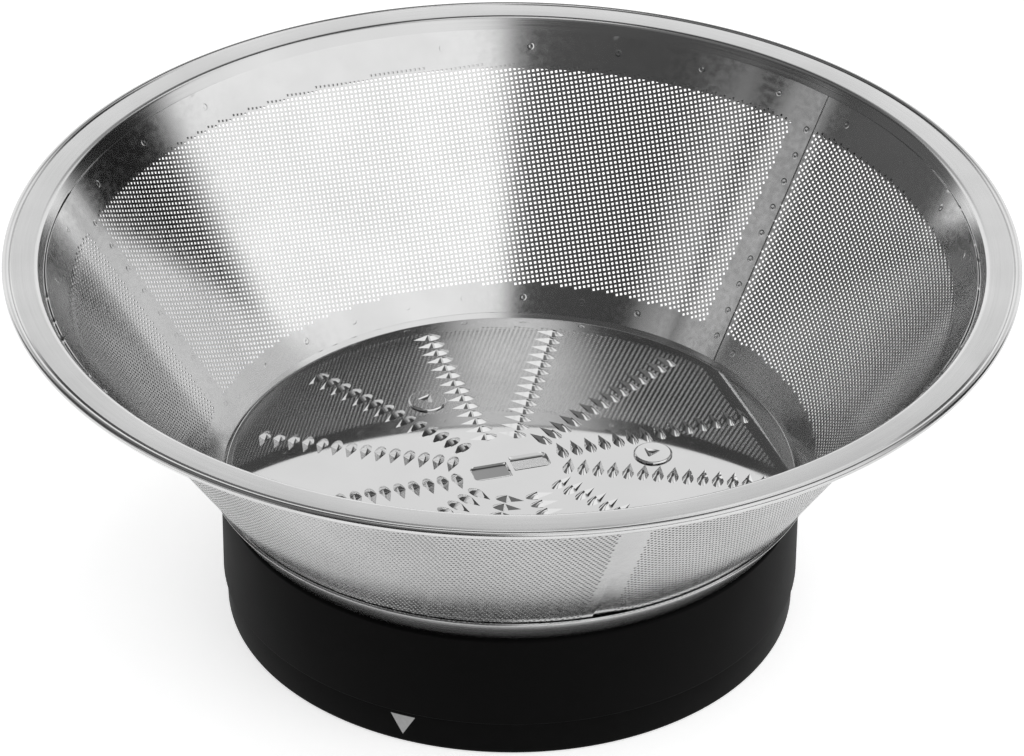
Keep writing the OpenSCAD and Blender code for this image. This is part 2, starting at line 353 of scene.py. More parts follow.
def perforated_sheet_tree():
    """One wall panel: a flat sheet with square holes, rolled into its sector of the cone."""
    half_a = math.radians(panel_a / 2) * math.sin(slope_a)
    far, near = flat_r + slope_l, flat_r * math.cos(half_a)
    tree = Tree("perforated_sheet")
    pitch = tree.size("Hole pitch", hole_pitch * MM)
    hole = tree.size("Hole width", hole_w * MM)
    columns = tree.size("Columns", 2 * math.ceil(far * math.sin(half_a) / hole_pitch) + 9, "NodeSocketInt")
    rows = tree.size("Rows", math.ceil((far - near) / hole_pitch) + 8, "NodeSocketInt")
    first_row = tree.size("First row", (near - 3) * MM)
    inner = tree.size("Lower edge radius", flat_r * MM)
    outer = tree.size("Upper edge radius", (flat_r + slope_l) * MM)
    low = tree.size("Lower border", border_low * MM)
    top = tree.size("Upper border", border_top * MM)
    side = tree.size("Side border", border_side * MM)
    lap = tree.size("Lap", lap_w * MM)
    clear = tree.size("Border beside the lap", lap_clear * MM)
    under = tree.size("Edge before the seam", lap_under * MM)
    joggle = tree.size("Joggle", (sheet_t + 0.02) * MM)
    joggle_run = tree.size("Joggle run", lap_run * MM)
    half = tree.size("Half angle", half_a)
    cone_r = tree.size("Cone radius", low_r * MM)
    cone_z = tree.size("Cone height", low_z * MM)
    slope = tree.size("Slope", slope_a)
    facing = tree.size("Facing", 0.0)
    material = tree.size("Finish", sieve_steel, "NodeSocketMaterial")

    grid_width = tree.math("MULTIPLY", pitch, tree.math("SUBTRACT", columns, 1))
    grid_height = tree.math("MULTIPLY", pitch, tree.math("SUBTRACT", rows, 1))
    grid = tree.add(
        "GeometryNodeMeshGrid", Size_X=grid_width, Size_Y=grid_height, Vertices_X=columns, Vertices_Y=rows
    )
    lift = tree.math("ADD", first_row, tree.math("MULTIPLY", grid_height, 0.5))
    centres = tree.add(
        "GeometryNodeSetPosition",
        Geometry=grid.outputs["Mesh"],
        Offset=tree.add("ShaderNodeCombineXYZ", Y=lift).outputs[0],
    ).outputs[0]

    def flat_place():
        """Distance from the cone's flattened tip and from the two seam lines."""
        place = tree.add("ShaderNodeSeparateXYZ", Vector=tree.add("GeometryNodeInputPosition").outputs[0])
        x, y = place.outputs[0], place.outputs[1]
        radius = tree.math("SQRT", tree.math("ADD", tree.math("MULTIPLY", x, x), tree.math("MULTIPLY", y, y)))
        angle = tree.math("ARCTAN2", x, y)
        right = tree.math("MULTIPLY", radius, tree.math("SINE", tree.math("SUBTRACT", half, angle)))
        left = tree.math("MULTIPLY", radius, tree.math("SINE", tree.math("ADD", half, angle)))
        return radius, angle, right, left

    def all_of(first, *others):
        for other in others:
            first = tree.add("FunctionNodeBooleanMath", {"operation": "AND"}, i0=first, i1=other).outputs[0]
        return first

    def above(a, b):
        settings = {"data_type": "FLOAT", "operation": "GREATER_THAN"}
        return tree.add("FunctionNodeCompare", settings, A=a, B=b).outputs[0]

    # Where the holes are, and where the plain sheet reaches
    radius, angle, right, left = flat_place()
    half_hole = tree.math("MULTIPLY", hole, 0.5)
    reach = tree.math("MULTIPLY", pitch, 0.66)
    in_field = all_of(
        above(radius, tree.math("ADD", tree.math("ADD", inner, low), half_hole)),
        above(tree.math("SUBTRACT", tree.math("SUBTRACT", outer, top), half_hole), radius),
        above(right, tree.math("ADD", side, half_hole)),
        above(left, tree.math("ADD", tree.math("ADD", lap, clear), half_hole)),
    )
    in_sheet = all_of(
        above(radius, tree.math("SUBTRACT", inner, reach)),
        above(tree.math("ADD", outer, reach), radius),
        above(right, tree.math("SUBTRACT", tree.math("MULTIPLY", lap, -1.0), reach)),
        above(left, tree.math("SUBTRACT", under, reach)),
    )
    plain = tree.add("FunctionNodeBooleanMath", {"operation": "NIMPLY"}, i0=in_sheet, i1=in_field).outputs[0]

    # A cell with a hole, as a ring of faces, and a plain cell
    outline = tree.add("GeometryNodeCurvePrimitiveQuadrilateral", Width=pitch, Height=pitch).outputs[0]
    opening = tree.add("GeometryNodeCurvePrimitiveQuadrilateral", Width=hole, Height=hole).outputs[0]
    both = tree.add("GeometryNodeJoinGeometry")
    tree.group.links.new(outline, both.inputs[0])
    tree.group.links.new(opening, both.inputs[0])
    holed_cell = tree.add("GeometryNodeFillCurve", Curve=both.outputs[0]).outputs[0]
    plain_cell = tree.add(
        "GeometryNodeMeshGrid", Size_X=pitch, Size_Y=pitch, Vertices_X=2, Vertices_Y=2
    ).outputs[0]
    joined = tree.add("GeometryNodeJoinGeometry")
    for chosen, cell in ((in_field, holed_cell), (plain, plain_cell)):
        placed = tree.add("GeometryNodeInstanceOnPoints", Points=centres, Selection=chosen, Instance=cell)
        tree.group.links.new(placed.outputs[0], joined.inputs[0])
    cells = tree.add("GeometryNodeRealizeInstances", Geometry=joined.outputs[0]).outputs[0]

    # The outermost cells are drawn in to the sheet's true outline
    radius, angle, right, left = flat_place()
    lap_limit = tree.math("ADD", half, tree.math("ARCSINE", tree.math("DIVIDE", lap, radius)))
    under_limit = tree.math("SUBTRACT", tree.math("ARCSINE", tree.math("DIVIDE", under, radius)), half)
    kept_angle = tree.math("MAXIMUM", tree.math("MINIMUM", angle, lap_limit), under_limit)
    kept_radius = tree.math("MAXIMUM", tree.math("MINIMUM", radius, outer), inner)
    trimmed = tree.add(
        "GeometryNodeSetPosition",
        Geometry=cells,
        Position=tree.add(
            "ShaderNodeCombineXYZ",
            X=tree.math("MULTIPLY", kept_radius, tree.math("SINE", kept_angle)),
            Y=tree.math("MULTIPLY", kept_radius, tree.math("COSINE", kept_angle)),
        ).outputs[0],
    ).outputs[0]
    sheet = tree.add("GeometryNodeMergeByDistance", Geometry=trimmed, Distance=0.02 * MM).outputs[0]

    # Rolled up: the lap's strip lies on the inside of the next panel
    radius, angle, right, left = flat_place()
    on_lap = tree.add("ShaderNodeMapRange", {"interpolation_type": "SMOOTHSTEP"}, Value=right)
    for key, value in (("From Min", 0.0), ("From Max", joggle_run), ("To Max", 0.0)):
        tree.feed(on_lap, key, value)
    tree.feed(on_lap, "To Min", tree.math("MULTIPLY", joggle, -1.0))
    out = on_lap.outputs[0]
    up = tree.math("SUBTRACT", radius, inner)
    sine = tree.math("SINE", slope)
    cosine = tree.math("COSINE", slope)
    outwards = tree.math("ADD", tree.math("MULTIPLY", up, sine), tree.math("MULTIPLY", out, cosine))
    upwards = tree.math("SUBTRACT", tree.math("MULTIPLY", up, cosine), tree.math("MULTIPLY", out, sine))
    ring = tree.math("ADD", cone_r, outwards)
    height = tree.math("ADD", cone_z, upwards)
    turn = tree.math("SUBTRACT", facing, tree.math("DIVIDE", angle, sine))
    rolled = tree.add(
        "GeometryNodeSetPosition",
        Geometry=sheet,
        Position=tree.add(
            "ShaderNodeCombineXYZ",
            X=tree.math("MULTIPLY", ring, tree.math("COSINE", turn)),
            Y=tree.math("MULTIPLY", ring, tree.math("SINE", turn)),
            Z=height,
        ).outputs[0],
    ).outputs[0]
    tree.finish(rolled, material)
    return tree


def placed_forms_tree(form):
    """Puts a small form on every point, turned by the point's own angles."""
    tree = Tree("placed_" + form.name)
    tree.group.interface.new_socket("Points", in_out="INPUT", socket_type="NodeSocketGeometry")
    shape = tree.size("Form", form, "NodeSocketObject")
    scale = tree.size("Scale", 1.0)
    material = tree.size("Finish", form.data.materials[0], "NodeSocketMaterial")
    angles = tree.add("GeometryNodeInputNamedAttribute", {"data_type": "FLOAT_VECTOR"}, Name="angles")
    placed = tree.add(
        "GeometryNodeInstanceOnPoints",
        Points=tree.entry.outputs["Points"],
        Instance=tree.add("GeometryNodeObjectInfo", Object=shape).outputs["Geometry"],
        Rotation=angles.outputs[0],
        Scale=tree.add("ShaderNodeCombineXYZ", X=scale, Y=scale, Z=scale).outputs[0],
    )
    tree.finish(tree.add("GeometryNodeRealizeInstances", Geometry=placed.outputs[0]).outputs[0], material)
    return tree


def place_forms(name, form_mesh, material, places):
    """One mesh with a copy of a form at every (position, angles) place, in metres."""
    form_mesh.materials.append(material)
    form = bpy.data.objects.new(name + "_form", form_mesh)
    bpy.context.scene.collection.objects.link(form)
    points = bpy.data.meshes.new(name + "_points")
    points.from_pydata([position for position, _ in places], [], [])
    attribute = points.attributes.new("angles", "FLOAT_VECTOR", "POINT")
    for i, (_, angles) in enumerate(places):
        attribute.data[i].vector = angles
    mesh = placed_forms_tree(form).make(name, points)
    bpy.data.objects.remove(form)
    return mesh


# Finishes


class Finish:
    """A procedural surface, wired from the object's own coordinates in millimetres."""

    def __init__(self, name, color, metallic, roughness):
        self.material = bpy.data.materials.new(name)
        self.material.use_nodes = True
        self.nodes = self.material.node_tree.nodes
        self.links = self.material.node_tree.links
        self.shader = self.nodes["Principled BSDF"]
        self.shader.inputs["Base Color"].default_value = (*color, 1)
        self.shader.inputs["Metallic"].default_value = metallic
        self.shader.inputs["Roughness"].default_value = roughness
        self.place = self.add("ShaderNodeTexCoord").outputs["Object"]

    def add(self, kind, settings=None, **inputs):
        return add_node(self.nodes, self.links, kind, settings, inputs)

    def polar(self, turns_scale, radius_scale, height_scale):
        """Coordinates that run round the axis, outwards and up, for turned or drawn metal."""
        parts = self.add("ShaderNodeSeparateXYZ", Vector=self.place)
        x, y, z = parts.outputs
        angle = self.add("ShaderNodeMath", {"operation": "ARCTAN2"}, i0=y, i1=x).outputs[0]
        flat = self.add("ShaderNodeCombineXYZ", X=x, Y=y)
        length = self.add("ShaderNodeVectorMath", {"operation": "LENGTH"}, i0=flat.outputs[0])
        radius = length.outputs["Value"]
        scaled = [
            self.add("ShaderNodeMath", {"operation": "MULTIPLY"}, i0=value, i1=scale).outputs[0]
            for value, scale in ((angle, turns_scale), (radius, radius_scale), (z, height_scale))
        ]
        return self.add("ShaderNodeCombineXYZ", X=scaled[0], Y=scaled[1], Z=scaled[2]).outputs[0]

    def noise(self, vector, scale, detail=3.0, roughness=0.5):
        return self.add(
            "ShaderNodeTexNoise", Vector=vector, Scale=scale, Detail=detail, Roughness=roughness
        ).outputs["Fac"]

    def between(self, value, low, high, start=0.3, end=0.7):
        made = self.add("ShaderNodeMapRange", Value=value)
        for key, number in (("From Min", start), ("From Max", end), ("To Min", low), ("To Max", high)):
            made.inputs[key].default_value = number
        return made.outputs[0]

    def tint(self, value, dark, light):
        ramp = self.add("ShaderNodeValToRGB", Fac=value)
        ramp.color_ramp.elements[0].color = (*dark, 1)
        ramp.color_ramp.elements[1].color = (*light, 1)
        ramp.color_ramp.elements[0].position = 0.3
        ramp.color_ramp.elements[1].position = 0.7
        self.links.new(ramp.outputs[0], self.shader.inputs["Base Color"])

    def set(self, socket, value):
        self.links.new(value, self.shader.inputs[socket])

    def bump(self, height, strength, distance):
        made = self.add("ShaderNodeBump", Height=height, Strength=strength, Distance=distance)
        self.links.new(made.outputs[0], self.shader.inputs["Normal"])


def grey(value):
    return (value, value, value)


def rolled_sheet(name, light, rough):
    """Bright rolled stainless sheet with faint scuffs and cloudy handling marks."""
    finish = Finish(name, grey(light), 1.0, rough)
    clouds = finish.noise(finish.place, 70.0, 4.0)
    grain = finish.noise(finish.polar(60.0, 900.0, 900.0), 1.0, 2.0)
    finish.tint(clouds, grey(light * 0.94), grey(min(light * 1.05, 1)))
    finish.set("Roughness", finish.between(grain, rough * 0.8, rough * 1.25))
    finish.bump(grain, 0.05, 0.00002)
    return finish.material


def drawn_rim(name, light, rough):
    """Pressed steel, polished round the axis."""
    finish = Finish(name, grey(light), 1.0, rough)
    lines = finish.noise(finish.polar(3.0, 5200.0, 5200.0), 1.0, 3.0, 0.6)
    clouds = finish.noise(finish.place, 45.0, 3.0)
    finish.tint(clouds, grey(light * 0.93), grey(min(light * 1.04, 1)))
    finish.set("Roughness", finish.between(lines, rough * 0.75, rough * 1.3))
    finish.bump(lines, 0.12, 0.00002)
    return finish.material


def mirror_disc(name, light, rough):
    """Mirror-polished disc with a faint cloudy tone and roughness."""
    finish = Finish(name, grey(light), 1.0, rough)
    clouds = finish.noise(finish.place, 60.0, 3.0)
    finish.tint(clouds, grey(light * 0.96), grey(min(light * 1.03, 1)))
    finish.set("Roughness", finish.between(clouds, rough * 0.6, rough * 1.4))
    return finish.material


def moulded_black(name, dark, rough, grain_size):
    """Matte black moulding with a fine spark-eroded grain."""
    finish = Finish(name, grey(dark), 0.0, rough)
    grain = finish.noise(finish.place, 1 / (grain_size * MM), 2.0)
    clouds = finish.noise(finish.place, 40.0, 3.0)
    finish.tint(clouds, grey(dark * 0.85), grey(dark * 1.2))
    finish.set("Roughness", finish.between(clouds, rough * 0.92, rough * 1.08))
    finish.bump(grain, 0.25, 0.00006)
    finish.shader.inputs["Specular IOR Level"].default_value = 0.06
    return finish.material


def mark_paint(name, light):
    finish = Finish(name, grey(light), 0.0, 0.55)
    specks = finish.noise(finish.place, 1500.0, 2.0)
    finish.tint(specks, grey(light * 0.92), grey(light * 1.04))
    finish.bump(specks, 0.1, 0.00003)
    return finish.material


def cast_bush(name, light):
    finish = Finish(name, grey(light), 1.0, 0.42)
    skin = finish.noise(finish.place, 900.0, 3.0)
    finish.tint(skin, grey(light * 0.85), grey(light * 1.1))
    finish.bump(skin, 0.3, 0.00005)
    return finish.material


sieve_steel = rolled_sheet("sieve_steel", 0.72, 0.16)
rim_steel = drawn_rim("rim_steel", 0.7, 0.17)
disc_steel = mirror_disc("disc_steel", 0.78, 0.035)
tooth_steel = mirror_disc("tooth_steel", 0.78, 0.1)
black_drum = moulded_black("black_drum", 0.0015, 0.5, 0.35)
black_cover = moulded_black("black_cover", 0.002, 0.45, 0.3)
pale_mark = mark_paint("pale_mark", 0.6)
grey_bush = cast_bush("grey_bush", 0.5)


# Rim, lower band and base, spun from their sections


def rim_outline():
    bend_out, bend_z = outer_n + shoulder_r, rim_h - shoulder_r
    bend = (on_wall(wall_up_at(bend_z, bend_out), bend_out)[0], bend_z)
    roll = (rim_r - roll_r, rim_h - roll_drop)
    slope = math.degrees(slope_a)
    roll_from = 180 - math.degrees(math.asin((roll_drop - roll_groove) / roll_r))
    roll_to = -180 - math.degrees(math.asin((roll_drop - rim_t) / roll_r))
    skirt = slope_l - skirt_lap
    return [
        on_wall(skirt, outer_n),
        *arc(bend, shoulder_r, 180 - slope, 90, 12),
        (roll[0] - roll_r - roll_groove, rim_h),
        *arc(roll, roll_r, roll_from, roll_to, 30),
        *arc(bend, shoulder_r - rim_t, 90, 180 - slope, 8),
        on_wall(skirt, outer_n + rim_t),
    ]


def band_outline():
    outer = outer_n + band_t
    inner_edge = base_r - flange_w
    return rounded([
        (inner_edge, base_h, 0.1),
        (*on_wall(wall_up_at(base_h, outer), outer), 0.35),
        (*on_wall(band_up, outer), 0.1),
        (*on_wall(band_up, outer_n), 0.1),
        (*on_wall(wall_up_at(flange_z, outer_n), outer_n), 0.3),
        (inner_edge, flange_z, 0.1),
    ])


def drum_outline():
    under = base_h - shell_t
    pad = base_r - flange_w - fit_gap
    return rounded([
        (0, flange_z, 0),
        (pad, flange_z, 0.2),
        (pad, base_h, 0),
        (base_r, base_h, 0.6),
        (base_r, cover_h, 0.35),
        (base_r - shell_t, cover_h, 0.2),
        (base_r - shell_t, under, 1.0),
        (hub_r, under, 1.0),
        (hub_r, hub_low, 0.4),
        (bush_r, hub_low, 0.2),
        (bush_r, bush_top, 0),
        (bore_r, bush_top, 0),
        (bore_r, bore_top, 0),
        (0, bore_top, 0),
    ], 5)


def cover_outline():
    foot = cover_r - foot_w
    spigot = base_r - shell_t - fit_gap
    return rounded([
        (foot, 0, 0.5),
        (cover_r - 0.15, 0, 0.9),
        (cover_r, cover_h, 0.35),
        (spigot, cover_h, 0.1),
        (spigot, cover_h + spigot_h, 0.3),
        (spigot - spigot_t, cover_h + spigot_h, 0.3),
        (spigot - spigot_t, cover_floor, 0.5),
        (cover_hole, cover_floor, 0.2),
        (cover_hole, cover_recess, 0.2),
        (foot, cover_recess, 0.5),
    ], 5)


# Wall panels


def make_panels():
    tree = perforated_sheet_tree()
    for k in range(3):
        identifier, _ = tree.sockets["Facing"]
        tree.sockets["Facing"] = (identifier, math.radians(seam_a + (k + 0.5) * panel_a))
        mesh = tree.make("rolled_panel_%d" % (k + 1))
        flat = bpy.data.objects.new("panel_sheet_blank_%d" % (k + 1), mesh)
        bpy.context.scene.collection.objects.link(flat)
        thicken = flat.modifiers.new("sheet_thickness", "SOLIDIFY")
        thicken.thickness = sheet_t * MM
        thicken.offset = -1
        thicken.use_even_offset = True
        ready = flat.evaluated_get(bpy.context.evaluated_depsgraph_get())
        solid = bpy.data.meshes.new_from_object(ready)
        bpy.data.objects.remove(flat)
        name, stands_for = "perforated_panel_%d" % (k + 1), "sieve_panel_%d" % (k + 1)
        piece(name, solid, sieve_steel, [stands_for])


def make_welds():
    """Spot welds on the inside of the cone, each standing square to the sheet."""
    spots = [
        (up % slope_l, weld_first_a + k * 360 / weld_count, 0.0)
        for up in weld_up for k in range(weld_count)
    ]
    for seam in range(3):
        along = seam_weld_first
        while along < slope_l - seam_weld_first:
            beside = math.degrees(lap_w / 2 / on_wall(along, 0)[0])
            spots.append((along, seam_a + seam * panel_a - beside, -sheet_t - 0.02))
            along += seam_weld_pitch
    places = []
    for up, angle, out in spots:
        radius, height = on_wall(up, out)
        x, y = around_axis(angle, radius, 0)
        places.append(((x * MM, y * MM, height * MM), (0, slope_a - math.pi / 2, math.radians(angle))))
    mesh = place_forms("welds", lathe_mesh("weld", weld_section, 14), sieve_steel, places)
    piece("spot_welds", mesh, sieve_steel, sharp_above=50)


# Grater disc


def tooth_form():
    """The raised spur of a tooth: a conical back and a crest like a gable."""
    half = tooth_w / 2
    form = bmesh.new()

    def vertex(x, y, z):
        return form.verts.new((x * MM, y * MM, z * MM))

    foot = -0.15
    crest = [(-1.0, 0.0), (-0.5, 0.55), (0.0, 1.0), (0.5, 0.55), (1.0, 0.0)]
    top = [vertex(half * x, 0, tooth_h * z) for x, z in crest]
    base, belly, under = [], [], []
    steps = 12
    for i in range(1, steps):
        a = math.pi + math.pi * i / steps
        x, y = half * math.cos(a), tooth_back * math.sin(a)
        base.append(vertex(x, y, 0))
        belly.append(vertex(x * 0.5, y * 0.5, tooth_h * 0.55))
        under.append(vertex(x, y, foot))
    base = [top[0], *base, top[4]]
    belly = [top[1], *belly, top[3]]
    under = [vertex(-half, 0, foot), *under, vertex(half, 0, foot)]
    for i in range(steps):
        form.faces.new((under[i], under[i + 1], base[i + 1], base[i]))
        form.faces.new((base[i], base[i + 1], belly[i + 1], belly[i]))
        form.faces.new((belly[i], belly[i + 1], top[2]))
    form.faces.new((under[0], *top, under[-1]))
    form.faces.new(under)
    bmesh.ops.recalc_face_normals(form, faces=form.faces)
    mesh = bpy.data.meshes.new("tooth")
    form.to_mesh(mesh)
    form.free()
    return mesh


def around_axis(angle, along, aside):
    a = math.radians(angle)
    return along * math.cos(a) - aside * math.sin(a), along * math.sin(a) + aside * math.cos(a)


def tooth_places():
    """Direction of its row and distance along it, for every tooth."""
    last = disc_r - disc_flat - tooth_w / 2
    count = int((last - tooth_in) / tooth_pitch) + 1
    return [(angle, tooth_in + k * tooth_pitch) for angle in row_angles for k in range(count)]


def make_teeth():
    places = []
    for angle, along in tooth_places():
        x, y = around_axis(angle, along, tooth_shift)
        places.append(((x * MM, y * MM, disc_z * MM), (0, 0, math.radians(angle))))
    mesh = place_forms("teeth", tooth_form(), tooth_steel, places)
    piece("grater_teeth", mesh, tooth_steel, sharp_above=42)


def cut_groove(form, angle, along):
    """The pointed groove in front of a spur: two rippled walls and an end wall."""
    steps = 5

    def vertex(x, y, z):
        px, py = around_axis(angle, along + x, tooth_shift + groove_clear + y)
        return form.verts.new((px * MM, py * MM, (disc_z + z) * MM))

    left, right, bottom = [], [], []
    for k in range(steps):
        share = k / steps
        ripple = 1 + (groove_ripple if k % 2 else -groove_ripple)
        width = tooth_w / 2 * (1 - share)
        left.append(vertex(-width, tooth_point * share, 0))
        right.append(vertex(width, tooth_point * share, 0))
        bottom.append(vertex(0, tooth_point * share, -groove_deep * (1 - share) * ripple))
    tip = vertex(0, tooth_point, 0)
    for side in (left, right):
        for k in range(steps - 1):
            form.faces.new((side[k], side[k + 1], bottom[k + 1], bottom[k]))
        form.faces.new((side[-1], tip, bottom[-1]))
    form.faces.new((left[0], right[0], bottom[0]))
    return [*left, tip, *reversed(right)]


def disc_outline(inset=0.0):
    """The disc's edge with its two flats, as points round the axis."""
    flat_at = disc_r - disc_flat - inset
    radius = disc_r - inset
    half = math.degrees(math.acos(flat_at / radius))
    points = []
    for side in (0, 180):
        start = disc_flat_a + side + half
        end = disc_flat_a + side + 180 - half
        points += arc((0, 0), radius, start, end, 120)
    return points


def scoop_outline(inset=0.0):
    """The scoop's rounded outline, drawn in by an inset, with points along its sides."""
    x0, x1 = scoop_inner + inset, scoop_inner + scoop_l - inset
    y0, y1 = scoop_off - scoop_w / 2 + inset, scoop_off + scoop_w / 2 - inset
    inner, outer = max(0.25 - inset, 0.02), max(scoop_corner - inset, 0.02)
    turned = rounded([(x0, y0, inner), (x1, y0, outer), (x1, y1, outer), (x0, y1, inner)], 8)
    along = 14
    outline = []
    for i, point in enumerate(turned):
        outline.append(point)
        if i % 9 == 8:
            following = turned[(i + 1) % len(turned)]
            for k in range(1, along):
                share = k / along
                outline.append(tuple(a + (b - a) * share for a, b in zip(point, following)))
    return outline


def scoop_floor(x, y):
    """Depth of the floor below the disc's face, with banks at both sides and the ends."""
    across = (y - scoop_off) / scoop_w + 0.5
    deep = 0.0
    for (start, low), (end, high) in zip(scoop_section, scoop_section[1:]):
        if start <= across <= end:
            deep = low + (high - low) * (across - start) / (end - start)
    from_end = min(x - scoop_inner, scoop_inner + scoop_l - x)
    return scoop_depth * deep * min(1, from_end / scoop_end)


def add_scoops(form, rims):
    """Each scoop is a nest of rings, drawn in from its rim and lowered to its floor."""
    insets = [0.08, 0.16, 0.3, 0.45, 0.6, 0.8, 1.1, 1.4, 1.7, 2.0, 2.3, 2.42]
    for turn, rim in zip((0, 180), rims):
        rings = [rim]
        for inset in insets:
            ring = []
            for x, y in scoop_outline(inset):
                px, py = around_axis(scoop_a + turn, x, y)
                ring.append(form.verts.new((px * MM, py * MM, (disc_z - scoop_floor(x, y)) * MM)))
            rings.append(ring)
        for upper, lower in zip(rings, rings[1:]):
            for i in range(len(upper)):
                j = (i + 1) % len(upper)
                form.faces.new((upper[i], upper[j], lower[j], lower[i]))
        form.faces.new(rings[-1])


def make_disc():
    """Mirror plate with two flats, a rounded edge and two pressed scoops."""
    form = bmesh.new()
    edge_round = 0.22
    levels = []
    for k in range(6):
        a = math.radians(90 * k / 5)
        inset, drop = edge_round * (1 - math.sin(a)), edge_round * (1 - math.cos(a))
        outline = disc_outline(inset)
        levels.append([form.verts.new((x * MM, y * MM, (disc_z - drop) * MM)) for x, y in outline])
    levels.append([form.verts.new((v.co.x, v.co.y, (disc_z - disc_t) * MM)) for v in levels[-1]])
    rims = [levels[0]]
    for turn in (0, 180):
        ring = []
        for x, y in scoop_outline():
            px, py = around_axis(scoop_a + turn, x, y)
            ring.append(form.verts.new((px * MM, py * MM, disc_z * MM)))
        rims.append(ring)
    edges = []
    for ring in rims:
        edges += [form.edges.new((ring[i], ring[(i + 1) % len(ring)])) for i in range(len(ring))]
    for angle, along in tooth_places():
        ring = cut_groove(form, angle, along)
        for i in range(len(ring)):
            pair = (ring[i], ring[(i + 1) % len(ring)])
            edges.append(form.edges.get(pair) or form.edges.new(pair))
    bmesh.ops.triangle_fill(form, use_beauty=True, use_dissolve=False, edges=edges, normal=(0, 0, 1))
    add_scoops(form, rims[1:])
    for upper, lower in zip(levels, levels[1:]):
        for i in range(len(upper)):
            j = (i + 1) % len(upper)
            form.faces.new((upper[i], lower[i], lower[j], upper[j]))
    form.faces.new(list(reversed(levels[-1])))
    bmesh.ops.recalc_face_normals(form, faces=form.faces)
    mesh = bpy.data.meshes.new("disc_plate")
    form.to_mesh(mesh)
    form.free()
    piece("disc_plate", mesh, disc_steel, ["grater_disc"], sharp_above=28, flat_at=disc_z)


def rivet_mesh(turn, offset):
    """Low head with a rounded edge, a shank and a punched three-sided pit."""
    turns = 96
    side = rounded([
        (head_flat - 0.3, head_h, 0),
        (head_flat + 0.5, head_h, 0.3),
        (head_d / 2, 0.24, 0.06),
        (head_d / 2 - 0.45, 0.03, 0.02),
        (head_d / 2 - 0.45, -0.05, 0),
        (shank_d / 2, -0.05, 0),
        (shank_d / 2, 0.2 - shank_l, 0),
        (shank_d / 2 - 0.2, -shank_l, 0),
    ], 6)
    form = bmesh.new()
    rings = []
    for radius, height in side:
        ring = []
        for k in range(turns):
            a = 2 * math.pi * k / turns
            ring.append(form.verts.new((radius * MM * math.cos(a), radius * MM * math.sin(a), height * MM)))
        rings.append(ring)

    def pit_ring(size, height):
        corners = []
        for k in range(3):
            a = math.radians(turn + 120 * k)
            corners.append((offset[0] + size * math.cos(a), offset[1] + size * math.sin(a), size * 0.12))
        return [form.verts.new((x * MM, y * MM, height * MM)) for x, y in rounded(corners, 3)]

    pit_section = [(1, 0), (0.96, 0.03), (0.3, punch_deep)]
    pit = [pit_ring(punch_r * share, head_h - deep) for share, deep in pit_section]
    edges = []
    for ring in (rings[0], pit[0]):
        edges += [form.edges.new((ring[i], ring[(i + 1) % len(ring)])) for i in range(len(ring))]
    bmesh.ops.triangle_fill(form, use_beauty=True, use_dissolve=False, edges=edges, normal=(0, 0, 1))
    for upper, lower in [*zip(rings, rings[1:]), *zip(pit, pit[1:])]:
        for i in range(len(upper)):
            j = (i + 1) % len(upper)
            form.faces.new((upper[i], lower[i], lower[j], upper[j]))
    form.faces.new(rings[-1])
    form.faces.new(pit[-1])
    bmesh.ops.recalc_face_normals(form, faces=form.faces)
    if form.calc_volume(signed=True) < 0:
        bmesh.ops.reverse_faces(form, faces=form.faces)
    mesh = bpy.data.meshes.new("rivet")
    form.to_mesh(mesh)
    form.free()
    return mesh


def make_rivets():
    for k, angle in enumerate(rivet_angles):
        mesh = rivet_mesh(punch_turns[k], punch_offsets[k])
        x, y = around_axis(angle, rivet_r, 0)
        mesh.transform(Matrix.Translation((x * MM, y * MM, disc_z * MM)))
        name = "rivet_%d" % (k + 1)
        piece(name, mesh, disc_steel, ["disc_rivet_%d" % (k + 1)], 30, disc_z + head_h)


# Building the basket

make_panels()
make_welds()
make_disc()
make_teeth()
make_rivets()
for name, outline, turns, finish, slot, node in (
    ("pressed_rim", rim_outline(), 480, rim_steel, "rim_steel", "rim_ring"),
    ("foot_band", band_outline(), 360, rim_steel, "rim_steel", "lower_band"),
    ("drum_shell", drum_outline(), 240, black_drum, "base_plastic", "base_drum"),
    ("cover_ring", cover_outline(), 240, black_cover, "base_plastic", "base_cover"),
):
    piece(name, lathe_mesh(name, outline, turns), finish, [node], 30)
for node, finish in (("alignment_mark", pale_mark), ("drive_bush", grey_bush)):
    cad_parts[node].material_slots[0].material = finish


# Camera, floor and light

# Studio: backdrop brightness by height in degrees, and soft boxes as bearing, half width,
# lowest and highest edge, softness (all in degrees) and strength
backdrop_fade = [
    (0, 1.08), (28.5, 1.08), (31.5, 0.92), (34.6, 0.84), (35.3, 0.5),
    (37, 0.38), (44, 0.36), (49, 0.09), (62, 0.06),
]
soft_boxes = [
    (-42, 47, 10, 72, 6, 1.05),
    (-166, 10, 2, 26, 1.2, 0.62),
    (-147, 9, 2, 30.5, 1.5, 0.5),
    (14, 26, 42, 70, 4, 1.0),
    (157, 26, 0, 26, 6, 0.11),
]

# Half width of the backdrop behind the basket and how it ends at the sides, in degrees
backdrop_sides = (46.0, 56.0)
# The dim room and the bright ceiling: lowest and highest edge, and brightness at each
dim_room = (20.0, 60.0, 0.012, 0.18)
ceiling = (72.0, 80.0, 0.0, 1.0)
# Glow of the floor for the lens and in the metal, and the surround's light on dull surfaces
floor_to_lens = 0.62
floor_to_metal = 0.36
fill_light = 0.5

camera_at = (0.0, -0.8119, 0.5719)
camera_down = 32.86
camera_roll = 0.45
focal_px = 5149.0
frame_px = 1024.0
centre_px = 511.17

